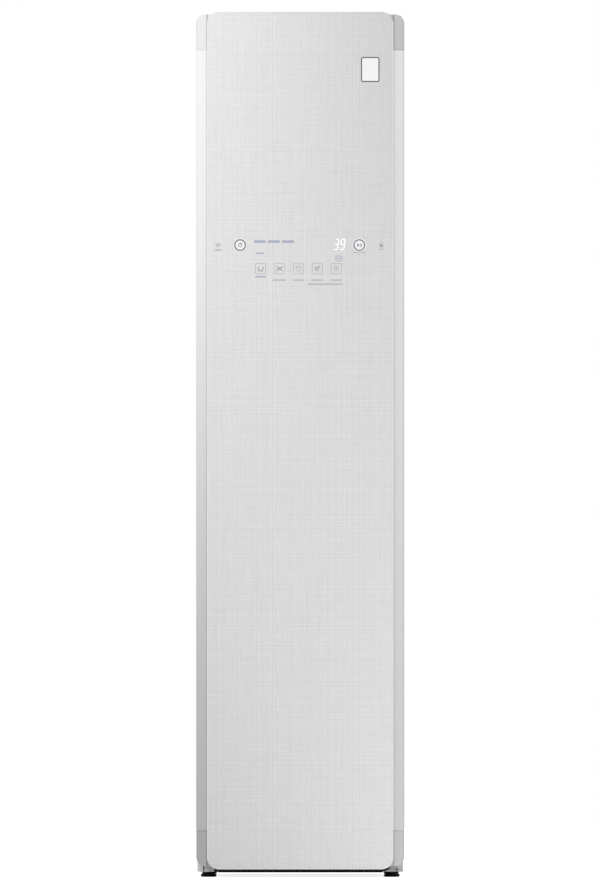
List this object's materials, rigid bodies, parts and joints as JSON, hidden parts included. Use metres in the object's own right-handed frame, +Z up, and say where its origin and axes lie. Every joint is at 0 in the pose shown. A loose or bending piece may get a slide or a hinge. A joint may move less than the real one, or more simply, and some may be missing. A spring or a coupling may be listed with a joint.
{
  "type": "clothes care steam cabinet",
  "caption": "Tall narrow cabinet that steams and shakes hanging garments, with a full-height hinged door, a trouser press inside it and pull-out water tanks below.",
  "frame": {"origin": "on the floor, at the middle of the cabinet's width and depth", "axes": "+Z up, +X to the right seen from the front, the door faces -Y"},
  "size_m": [0.445, 0.585, 1.85],
  "materials": {
    "linen_glass": "coated glass with a printed linen weave",
    "door_trim": "satin light silver",
    "cap_grey": "satin light grey",
    "casing": "fine powder coat, light grey",
    "top_plastic": "matt light grey",
    "liner": "semi-gloss white grey",
    "inner_grey": "moulded grey",
    "smoked_tank": "smoked translucent",
    "dark_plastic": "matt black",
    "rubber": "matt",
    "seal": "soft light grey",
    "steel": "bright",
    "zinc_steel": "zinc plated",
    "black_steel": "satin black",
    "boiler_cast": "cast",
    "aluminium": "mill",
    "foam": "closed-cell foam",
    "board": "solder mask",
    "lens": "frosted",
    "hose": "matt"
  },
  "bodies": {
    "cabinet": {"left_side_panel": "casing", "right_side_panel": "casing", "top_cover": "top_plastic", "base_tray": "zinc_steel", "kick_plate": "dark_plastic", "front_frame": "liner", "cavity_liner": "liner", "floor_grille": "inner_grey", "steam_nozzle": "inner_grey", "drive_cover": "liner", "rail_guide_left": "inner_grey", "rail_guide_right": "inner_grey", "motor_plate": "zinc_steel", "hanger_motor": "black_steel", "chamber_lamp": "lens", "tank_bay": "inner_grey", "intake_duct": "inner_grey", "evaporator": "aluminium", "condenser": "aluminium", "drip_tray": "inner_grey", "blower_housing": "inner_grey", "blower_motor": "black_steel", "outlet_duct": "inner_grey", "compressor": "black_steel", "steam_generator": "boiler_cast", "steam_hose": "hose", "supply_pump": "dark_plastic", "drain_pump": "dark_plastic", "control_box": "dark_plastic", "back_panel": "zinc_steel", "mains_gland": "rubber", "upper_hinge": "steel", "lower_hinge": "steel"},
    "door": {"door_panel": "linen_glass", "left_door_trim": "door_trim", "right_door_trim": "door_trim", "door_top_cap": "cap_grey", "door_bottom_cap": "cap_grey", "touch_display": "board", "door_foam": "foam", "door_liner": "liner", "door_gasket": "seal", "press_plate": "liner"},
    "press_flap": {"press_panel": "cap_grey"},
    "clamp": {"clamp_jaw": "inner_grey"},
    "rail": {"hanger_rail": "aluminium", "drive_yoke": "inner_grey"},
    "crank": {"crank_disc": "zinc_steel"},
    "fan": {"blower_wheel": "dark_plastic"},
    "filter": {"lint_filter": "inner_grey"},
    "aroma": {"aroma_cartridge": "cap_grey"},
    "shelf": {"wire_shelf": "steel"},
    "supply": {"supply_tank": "smoked_tank", "supply_tank_lid": "cap_grey"},
    "drain": {"drain_tank": "smoked_tank", "drain_tank_lid": "cap_grey"},
    "foot_fl": {"foot_front_left": "rubber"},
    "foot_fr": {"foot_front_right": "rubber"},
    "foot_rl": {"foot_rear_left": "rubber"},
    "foot_rr": {"foot_rear_right": "rubber"}
  },
  "joints": [
    {"name": "door_swing", "type": "hinge", "parent": "cabinet", "child": "door", "pos_m": [0.205, -0.252, 0], "axis": [0, 0, 1], "range_deg": [0, 120]},
    {"name": "press_swing", "type": "hinge", "parent": "door", "child": "press_flap", "pos_m": [0.136, -0.1965, 1.15], "axis": [0, 0, -1], "range_deg": [0, 90]},
    {"name": "clamp_tilt", "type": "hinge", "parent": "door", "child": "clamp", "pos_m": [0, -0.1902, 1.618], "axis": [1, 0, 0], "range_deg": [0, 28], "stiffness_Nm_per_rad": 0.3, "springref_deg": -34.38},
    {"name": "rail_shake", "type": "slide", "parent": "cabinet", "child": "rail", "axis": [1, 0, 0], "range_m": [-0.015, 0.015]},
    {"name": "crank_turn", "type": "hinge", "parent": "cabinet", "child": "crank", "pos_m": [0, -0.015, 1.715], "axis": [0, 0, 1], "range_deg": [-91, 91]},
    {"name": "fan_spin", "type": "hinge", "parent": "cabinet", "child": "fan", "pos_m": [0.111, 0.206, 0.15], "axis": [1, 0, 0], "continuous": true},
    {"name": "filter_lift", "type": "slide", "parent": "cabinet", "child": "filter", "axis": [0, 0, 1], "range_m": [0, 0.12]},
    {"name": "aroma_lift", "type": "slide", "parent": "cabinet", "child": "aroma", "axis": [0, 0, 1], "range_m": [0, 0.06]},
    {"name": "shelf_lift", "type": "slide", "parent": "cabinet", "child": "shelf", "axis": [0, 0, 1], "range_m": [0, 0.08]},
    {"name": "supply_tank_pull", "type": "slide", "parent": "cabinet", "child": "supply", "axis": [0, -1, 0], "range_m": [0, 0.038]},
    {"name": "drain_tank_pull", "type": "slide", "parent": "cabinet", "child": "drain", "axis": [0, -1, 0], "range_m": [0, 0.038]},
    {"name": "foot_turn_fl", "type": "hinge", "parent": "cabinet", "child": "foot_fl", "pos_m": [-0.196, -0.1925, 0], "axis": [0, 0, 1], "continuous": true},
    {"name": "foot_turn_fr", "type": "hinge", "parent": "cabinet", "child": "foot_fr", "pos_m": [0.196, -0.1925, 0], "axis": [0, 0, 1], "continuous": true},
    {"name": "foot_turn_rl", "type": "hinge", "parent": "cabinet", "child": "foot_rl", "pos_m": [-0.196, 0.2625, 0], "axis": [0, 0, 1], "continuous": true},
    {"name": "foot_turn_rr", "type": "hinge", "parent": "cabinet", "child": "foot_rr", "pos_m": [0.196, 0.2625, 0], "axis": [0, 0, 1], "continuous": true}
  ],
  "couplings": [
    {"joint": "crank_turn", "follows": "rail_shake", "rad_per_m": 104.72}
  ]
}
